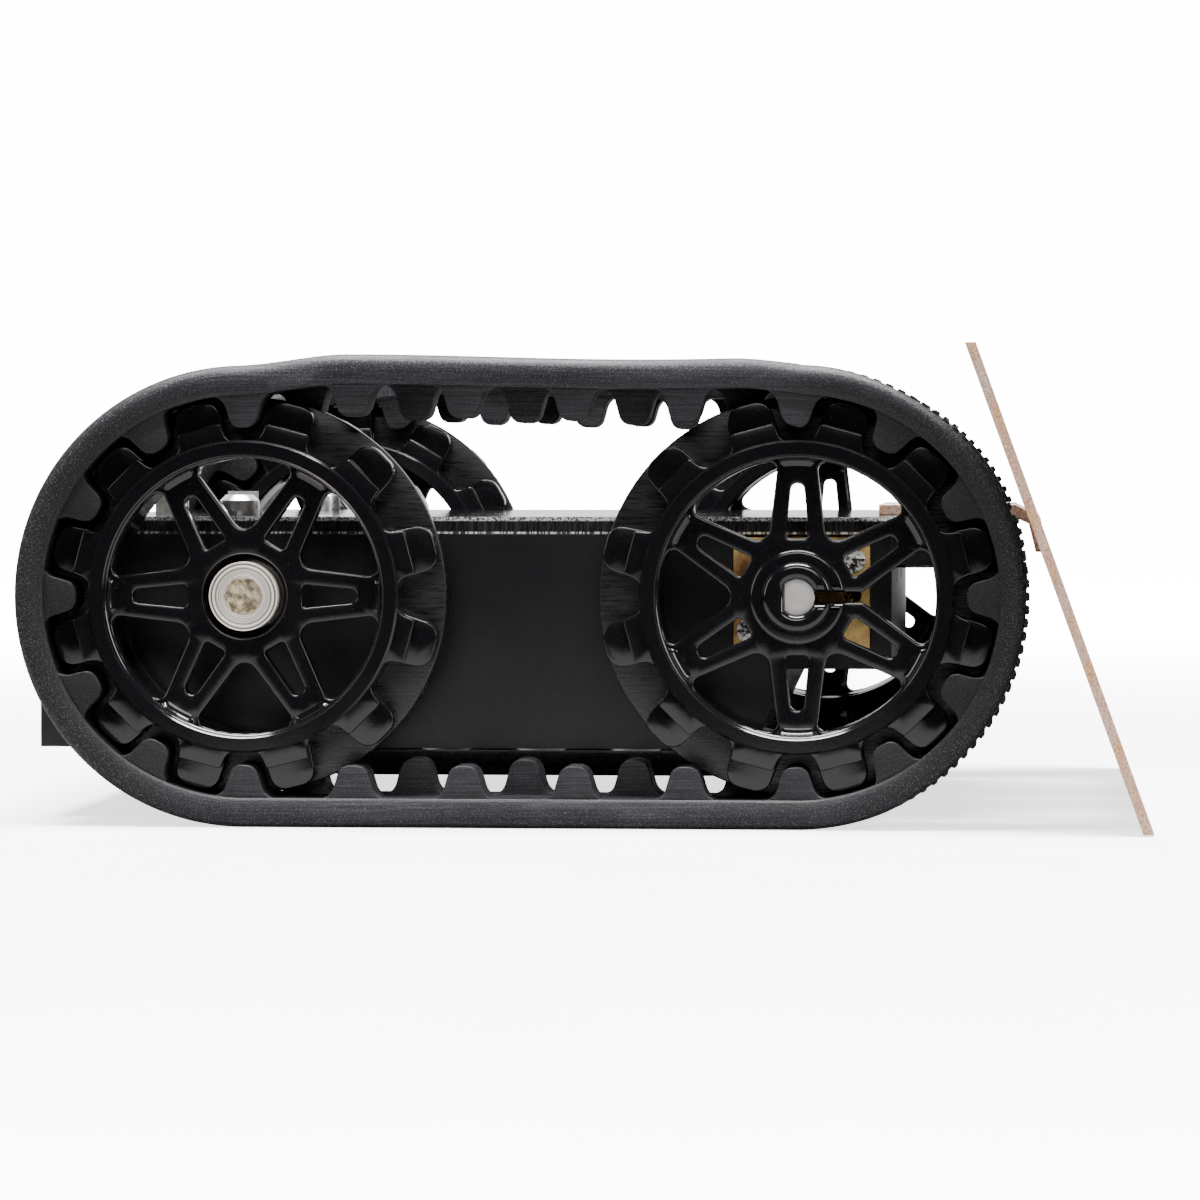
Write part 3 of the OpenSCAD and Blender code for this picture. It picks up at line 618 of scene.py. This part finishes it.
def spoke_window(angle, slit=0):
    """Rounded triangle between two spokes, centred on an angle; a slit opens it to the hub's hole."""
    outer, corner, apex = WINDOW_OUTER, 1.0, 1.15
    half_turn = 180 / SPOKES
    half_spoke = SPOKE_HALF_WIDTH + SPOKE_TAPER * (RIM_INNER - outer)
    edge = half_turn - atan2(half_spoke, outer) * 180 / pi
    arc = [polar(outer, edge * k) for k in (-1, -0.55, -0.28, 0, 0.28, 0.55, 1)]
    side = radians(half_turn) + atan2(SPOKE_TAPER, 1)
    tip = arc[0][0] + arc[0][1] / tan(side)
    corners = [(*arc[0], corner)] + [(x, z, 0) for x, z in arc[1:-1]] + [(*arc[-1], corner)]
    if slit:
        half = slit / 2
        mouth = tip + half / tan(side)
        start = atan2(half, HUB_HOLE)
        hub = [(HUB_HOLE * cos(t), HUB_HOLE * sin(t), 0)
               for t in (start + (2 * pi - 2 * start) * k / 60 for k in range(61))]
        corners += [(mouth, half, 0.6)] + hub + [(mouth, -half, 0.6)]
    else:
        corners.append((tip, 0, apex))
    return turned(rounded(corners, 6), angle)


def spoke_slot(angle):
    """Slot along a spoke, narrower towards the rim."""
    start, end, wide, narrow = 5.05, 9.8, 1.02, 0.56
    corners = [(start, -wide, 0.35), (end, -narrow, 0.55), (end, narrow, 0.55), (start, wide, 0.35)]
    return turned(rounded(corners), angle)


def d_outline(radius, flat, count=40):
    """Circle with a flat cut off at -x."""
    edge = atan2((radius ** 2 - flat ** 2) ** 0.5, -flat)
    return [(radius * cos(-edge + 2 * edge * i / count), radius * sin(-edge + 2 * edge * i / count))
            for i in range(count + 1)]


def add_rim_lining(bm, spoke_phase):
    """Inner wall of the rim; a hollow fillet brings each spoke's outer face up to it."""
    inner, joined, face = RIM_INNER, RIM_INNER + 0.25, TRACK_MID + WEB_FACE
    half_turn = 180 / SPOKES
    rings = []
    for degrees in range(360):
        off = abs((degrees - spoke_phase + half_turn) % (2 * half_turn) - half_turn)
        reach = LINING_FILLET * (1 - smooth_step(1.15, 1.75, 11.5 * sin(radians(off))))
        profile = [(inner, TRACK_MID - 2.6), (joined, TRACK_MID - 3.2),
                   (joined, face + 0.85), (inner + 0.12, face + 0.8)]
        profile += [(inner - reach * (1 - sin(t)), face - 0.04 + 0.7 * (1 - cos(t)))
                    for t in (pi / 2 * (1 - k / 6) for k in range(7))]
        profile += [(inner - reach, face - 0.2), (inner, face - 0.4)]
        c, s = cos(radians(degrees)), sin(radians(degrees))
        rings.append([bm.verts.new((r * c, w, r * s)) for r, w in profile])
    join_rings(bm, rings)


def wheel_mesh(spoke_phase, holes, slit=0):
    """The rim, blocks, disc and spokes that both kinds of wheel share."""
    bm = bmesh.new()
    mid = TRACK_MID
    add_slab(bm, [ring_points(DISC_R, 144), ring_points(RIM_JOIN)],
             mid - DISC_HALF, mid + DISC_HALF, 0.12, 1)
    deep = (DEEP_BLOCK_FACE, DISC_R - 0.12, 1.35)
    shallow = (SHALLOW_BLOCK_FACE, SHALLOW_BLOCK_TOP, 0.3)
    for sign, phase in ((1, BLOCK_STEP / 2), (-1, 0)):
        for face, top, corner in (deep, shallow):
            ends = sorted((mid + sign * DISC_HALF / 2, mid + sign * face))
            add_slab(bm, [block_outline(top, phase, corner), ring_points(RIM_JOIN + 0.1)], *ends, 0.13)
    back, front = mid - DRUM_HALF, mid + DRUM_HALF
    add_lathe(bm, [(RIM_JOIN - 0.1, back + 0.2), (RIM_JOIN + 0.05, back),
                   (RIM_OUTER - 0.2, back), (RIM_OUTER, back + 0.2),
                   (RIM_OUTER, front - 0.2), (RIM_OUTER - 0.2, front),
                   (RIM_JOIN + 0.12, front), (RIM_JOIN, front - 0.12), (RIM_JOIN - 0.05, front - 0.35)], 144)
    add_rim_lining(bm, spoke_phase)
    step = 360 / SPOKES
    windows = [spoke_window(spoke_phase + (i + 0.5) * step, 0 if i < SPOKES - 1 else slit)
               for i in range(SPOKES)]
    slots = [spoke_slot(spoke_phase + i * step) for i in range(SPOKES)]
    add_slab(bm, [ring_points(RIM_JOIN)] + windows + slots + holes, mid + WEB_BACK, mid + WEB_FACE, 0.17)
    return bm


def idler_wheel(side_name):
    """Idler wheel with a plain bore and a recess for the bolt's head."""
    bore, recess, tube = 2.06, 3.6, 4.75
    bm = wheel_mesh(0, [ring_points(recess + 0.05, 64)])
    inner, outer = outward("idler_sprocket_right")[0], TRACK_MID + WEB_FACE
    seat = span("shoulder_bolts", 1)[1] - 2.1
    add_lathe(bm, [(bore, inner), (tube - 0.15, inner), (tube, inner + 0.2), (tube, outer - 0.5),
                   (recess + 0.4, outer - 0.3), (recess + 0.02, outer - 0.1), (recess, seat), (bore, seat)])
    finish_piece(bm, f"idler_wheel_{side_name}", SIDES[side_name], (REAR_X, AXLE_Z),
                 [wheel_black, wheel_flats], f"idler_sprocket_{side_name}")


def hub_ring(radius, count=64):
    """Outline of the hub round the shaft, opened by a slit towards +x."""
    half = HUB_SLIT / 2
    edge = atan2(half, radius)
    turns = [edge + (2 * pi - 2 * edge) * i / count for i in range(count + 1)]
    points = [(radius * cos(t), radius * sin(t)) for t in turns]
    shaft = d_outline(1.52, 1.08)
    kept = [p for p in shaft if not (p[0] > 0 and abs(p[1]) <= half)]
    upper = sorted((p for p in kept if p[1] > 0), key=lambda p: p[0])
    lower = sorted((p for p in kept if p[1] <= 0), key=lambda p: -p[0])
    return points + lower + upper


def drive_wheel(side_name):
    """Drive wheel with two stepped hub rings, slit at one side, round the D-shaft."""
    bm = wheel_mesh(30, [], HUB_SLIT)
    inner = outward("drive_sprocket_right")[0]
    add_slab(bm, [hub_ring(4.15)], inner, TRACK_MID + 3.95, 0.4, segments=5)
    add_slab(bm, [hub_ring(3.05)], TRACK_MID, TRACK_MID + 4.75, 0.55, segments=6)
    finish_piece(bm, f"drive_wheel_{side_name}", SIDES[side_name], (FRONT_X, AXLE_Z),
                 [wheel_black, wheel_flats], f"drive_sprocket_{side_name}")


# ---------- tracks ----------
# A place along the track's loop is k, in pitches from the top of the rear wheel.

RIM_LIFT = 0.3
RIM_ROUND = 0.75
ROW_GAP = 1.5
ROW_INSET = 0.45


def top_bow(k):
    """How far the stiff rubber bows up between the wheels, in two uneven waves."""
    mean, wave, crest, length = 0.72, 0.24, 0.95, 5.4
    ends = smooth_step(-0.1, 0.95, k) * smooth_step(-0.2, 0.6, STRAIGHT_PITCHES - k)
    return ends * (mean + wave * cos(2 * pi * (k - crest) / length))


def rim_lift(k):
    """The band's rims stand level with the tread bars, and drop below them on the front turn."""
    k = k % LOOP_PITCHES
    return RIM_LIFT * (1 - smooth_step(5.2, 6.2, k) * (1 - smooth_step(9.4, 10.4, k)))


def on_loop(k, x, radius):
    """Point on the track's loop at k, moved x along the track."""
    half = STRAIGHT_PITCHES + TURN_PITCHES
    k = (k + x / PITCH) % LOOP_PITCHES
    if k <= STRAIGHT_PITCHES:
        return REAR_X + k * PITCH, AXLE_Z + radius + top_bow(k)
    if k < half:
        turn = pi / 2 - pi * (k - STRAIGHT_PITCHES) / TURN_PITCHES
        return FRONT_X + radius * cos(turn), AXLE_Z + radius * sin(turn)
    if k <= half + STRAIGHT_PITCHES:
        return FRONT_X - (k - half) * PITCH, AXLE_Z - radius
    turn = -pi / 2 - pi * (k - half - STRAIGHT_PITCHES) / TURN_PITCHES
    return REAR_X + radius * cos(turn), AXLE_Z + radius * sin(turn)


def loop(radius, count=440):
    return [on_loop(LOOP_PITCHES * i / count, 0, radius) for i in range(count)]


def tooth_point(k, x, radius):
    """A tooth keeps its true shape: on the turns its points are placed by angle at their own radius."""
    half = STRAIGHT_PITCHES + TURN_PITCHES
    k = k % LOOP_PITCHES
    on_turn = STRAIGHT_PITCHES < k < half or half + STRAIGHT_PITCHES < k
    if on_turn and radius < BAND_INNER:
        return on_loop(k, atan2(x, radius) * PITCH * TURN_PITCHES / pi, hypot(x, radius))
    return on_loop(k, x, radius)


def toothed_loop(phase, height):
    """Inner outline of one row: a bell-shaped tooth on every pitch."""
    tip = BAND_INNER - height
    half = PITCH / 2
    root = BAND_INNER + 0.05
    profile = rounded([(-half, root, 0), (-1.95, root, 1.4), (-1.1, tip, 1.1),
                       (1.1, tip, 1.1), (1.95, root, 1.4), (half, root, 0)], 6)[:-1]
    return [tooth_point(n + phase, x, radius) for n in range(LOOP_PITCHES) for x, radius in profile]


def add_band(bm, count=528):
    """Sweeps the band's section round the loop: flat sides, rounded rims and a slightly sunken tread."""
    side, rim = HALF_TRACK, RIM_ROUND
    section = [(side - 0.25, BAND_INNER, 0), (side, BAND_INNER + 0.3, 0), (side, BAND_OUTER - rim, 0)]
    for step in range(1, 7):
        turn = pi / 2 * step / 6
        section.append((side - rim * (1 - cos(turn)), BAND_OUTER - rim * (1 - sin(turn)), step / 6))
    section.append((side - 1.3, BAND_OUTER, 0))
    section += [(-w, r, lift) for w, r, lift in reversed(section)]
    rings = []
    for i in range(count):
        k = LOOP_PITCHES * i / count
        ring = []
        for w, r, lift in section:
            x, z = on_loop(k, 0, r + lift * rim_lift(k))
            ring.append(bm.verts.new((x, TRACK_MID + w, z)))
        rings.append(ring)
    join_rings(bm, rings)


def add_tread(bm, count=198):
    """Low bars across the outside of the band, in three rows."""
    edge = HALF_TRACK - 1.35
    rows = ((-edge, -1.3), (-1.1, 1.1), (1.3, edge))
    bar = ((-0.3, BAND_OUTER - 0.1), (-0.26, BAR_TOP - 0.1), (-0.18, BAR_TOP),
           (0.18, BAR_TOP), (0.26, BAR_TOP - 0.1), (0.3, BAND_OUTER - 0.1))
    for i in range(count):
        corners = [on_loop(LOOP_PITCHES * i / count, x, radius) for x, radius in bar]
        for low, high in rows:
            ends = [[bm.verts.new((x, TRACK_MID + w, z)) for x, z in corners] for w in (low, high)]
            for a in range(len(bar)):
                b = (a + 1) % len(bar)
                bm.faces.new((ends[0][a], ends[0][b], ends[1][b], ends[1][a]))
            bm.faces.new(ends[0])
            bm.faces.new(ends[1][::-1])


def track(side_name):
    """Rubber track: a band, two rows of teeth half a pitch apart, and the tread."""
    bm = bmesh.new()
    add_band(bm)
    for sign, phase, height in ((1, 0, 2.85), (-1, 0.5, 3.1)):
        ends = sorted((TRACK_MID + sign * ROW_GAP / 2, TRACK_MID + sign * (HALF_TRACK - ROW_INSET)))
        add_slab(bm, [loop(BAND_OUTER - 1.2), toothed_loop(phase, height)], *ends, 0.12)
    add_tread(bm)
    finish_piece(bm, f"rubber_track_{side_name}", SIDES[side_name], (0, 0),
                 [track_rubber], f"track_{side_name}", 40)


for side_name in SIDES:
    idler_wheel(side_name)
    drive_wheel(side_name)
    track(side_name)


# ---------- the CAD's own pieces: rounded edges and finishes ----------

SUBPARTS = {s["node"]: s["material_slot"] for s in frame["record"]["subparts"]}
EDGE_RADIUS = {
    "main_body": 0.25, "battery_cover": 0.2,
    "plate_screws": 0.4, "blade_nuts": 0.1, "shoulder_bolts": 0.15,
}
WELD_DISTANCE = 0.000002


def round_edges(piece, width):
    rounding = piece.modifiers.new("rounding", "BEVEL")
    rounding.width = width * MM
    rounding.segments = 2
    rounding.limit_method = "ANGLE"
    rounding.angle_limit = radians(35)


def soften(node, width):
    """Rounds a CAD piece's edges with modifiers; its mesh stays as it is."""
    piece = frame["nodes"][node]
    weld = piece.modifiers.new("weld", "WELD")
    weld.merge_threshold = WELD_DISTANCE
    round_edges(piece, width)
    weighted = piece.modifiers.new("weighted", "WEIGHTED_NORMAL")
    weighted.keep_sharp = True


def copy_of(node, name):
    """A welded copy of a CAD piece, to shade face by face."""
    bm = bmesh.new()
    bm.from_mesh(frame["nodes"][node].data)
    bmesh.ops.remove_doubles(bm, verts=bm.verts, dist=WELD_DISTANCE)
    bmesh.ops.dissolve_limit(bm, angle_limit=radians(0.5), verts=bm.verts, edges=bm.edges)
    mesh = bpy.data.meshes.new(name)
    bm.to_mesh(mesh)
    bm.free()
    piece = bpy.data.objects.new(name, mesh)
    bpy.context.scene.collection.objects.link(piece)
    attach(piece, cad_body(node))
    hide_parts(node)
    return piece


def cut_sheet(node, name, face_material, edge_material, is_edge, width):
    """A sheet whose faces and cut edges differ in finish."""
    piece = copy_of(node, name)
    for material in (face_material, edge_material):
        piece.data.materials.append(material)
    for face in piece.data.polygons:
        face.material_index = 1 if is_edge(face.normal) else 0
    round_edges(piece, width)


for node, piece in frame["nodes"].items():
    piece.data.materials.clear()
    piece.data.materials.append(SLOT_MATERIAL[SUBPARTS[node]])
    if node in EDGE_RADIUS:
        soften(node, EDGE_RADIUS[node])
    if node.startswith("gearbox_screws"):
        piece.data.materials[0] = shade_blotched_steel

cut_sheet("blade", "blade_sheet", steel_sheet, blade_edge,
          lambda n: abs(n.y) > 0.7 or abs(n.z) > 0.95 and n.x == 0, 0.07)
cut_sheet("top_plate", "deck_plate", deck_face, acrylic, lambda n: abs(n.z) < 0.3, 0.05)


# ---------- floor and light ----------

# metres
FLOOR_RADIUS = 1.5
WALL_RADIUS = 0.5
WALL_HEIGHT = 1.6

# what the paper shines with: near the object, at the backdrop, and far off
NEAR_GLOW = 1.9
BACK_GLOW = 1.8
FAR_GLOW = 14


def paper():
    """White paper. Away from the object it is white to the camera alone, but for a backdrop that shines."""
    material, tree, shader = new_material("paper", (0.9, 0.9, 0.9), 0.8, specular=0.0)
    place = place_of(tree)
    distance = vector_math(tree, "LENGTH", place)
    seen = tree.nodes.new("ShaderNodeLightPath").outputs["Is Camera Ray"]
    nearby = map_of(tree, distance, 0.07, 0.2, 0.28, 0.0, smooth=True)
    mottle = ramp(tree, noise(tree, place, 60, 2), [(0.3, 0.88), (0.7, 0.92)])
    white = math_of(tree, "MULTIPLY", math_of(tree, "MAXIMUM", seen, nearby), mottle)
    tree.links.new(white, shader.inputs["Base Color"])
    glow = map_of(tree, distance, 0.07, 0.6, NEAR_GLOW, FAR_GLOW, smooth=True)
    backdrop = map_of(tree, parts_of(tree, place)["Y"], 0.55, 0.95, 0.0, BACK_GLOW, smooth=True)
    glow = math_of(tree, "MAXIMUM", math_of(tree, "MULTIPLY", seen, glow), backdrop)
    shader.inputs["Emission Color"].default_value = (1, 1, 1, 1)
    tree.links.new(glow, shader.inputs["Emission Strength"])
    return material


def make_stage(steps=96):
    """A round bowl of paper: a flat floor that curves up into a wall."""
    bm = bmesh.new()
    flat = FLOOR_RADIUS - WALL_RADIUS
    rise = [pi / 2 * i / 12 for i in range(1, 13)]
    profile = [(0.3, 0), (flat, 0)]
    profile += [(flat + WALL_RADIUS * sin(t), WALL_RADIUS * (1 - cos(t))) for t in rise]
    profile.append((FLOOR_RADIUS, WALL_HEIGHT))
    centre = bm.verts.new((0, 0, 0))
    turns = [2 * pi * i / steps for i in range(steps)]
    rings = [[bm.verts.new((r * cos(t), r * sin(t), z)) for t in turns] for r, z in profile]
    for i in range(steps):
        j = (i + 1) % steps
        bm.faces.new((centre, rings[0][i], rings[0][j]))
        for inner, outer in zip(rings, rings[1:]):
            bm.faces.new((inner[i], outer[i], outer[j], inner[j]))
    mesh = bpy.data.meshes.new("paper_bowl")
    bm.to_mesh(mesh)
    bm.free()
    mesh.polygons.foreach_set("use_smooth", [True] * len(mesh.polygons))
    mesh.materials.append(paper())
    bowl = bpy.data.objects.new("paper_bowl", mesh)
    bpy.context.scene.collection.objects.link(bowl)


def softbox(name, place, size, power):
    """Rectangular lamp aimed at the middle of the object."""
    data = bpy.data.lights.new(name, "AREA")
    data.shape = "RECTANGLE"
    data.size, data.size_y = size
    data.energy = power
    lamp = bpy.data.objects.new(name, data)
    lamp.location = place
    aim = Vector((0, 0, 0.02)) - Vector(place)
    lamp.rotation_euler = aim.to_track_quat("-Z", "Y").to_euler()
    bpy.context.scene.collection.objects.link(lamp)


make_stage()
softbox("top", (0.0, -0.08, 0.8), (0.6, 0.42), 48)
softbox("front", (0.1, -1.0, 0.5), (0.6, 0.3), 4.5)
softbox("front_left", (-0.75, -0.45, 0.3), (0.2, 0.5), 2)
softbox("front_right", (0.8, -0.4, 0.3), (0.2, 0.5), 4)
world = bpy.data.worlds.new("studio")
world.use_nodes = True
world.node_tree.nodes["Background"].inputs["Color"].default_value = (0.9, 0.95, 1, 1)
world.node_tree.nodes["Background"].inputs["Strength"].default_value = 0.06
bpy.context.scene.world = world
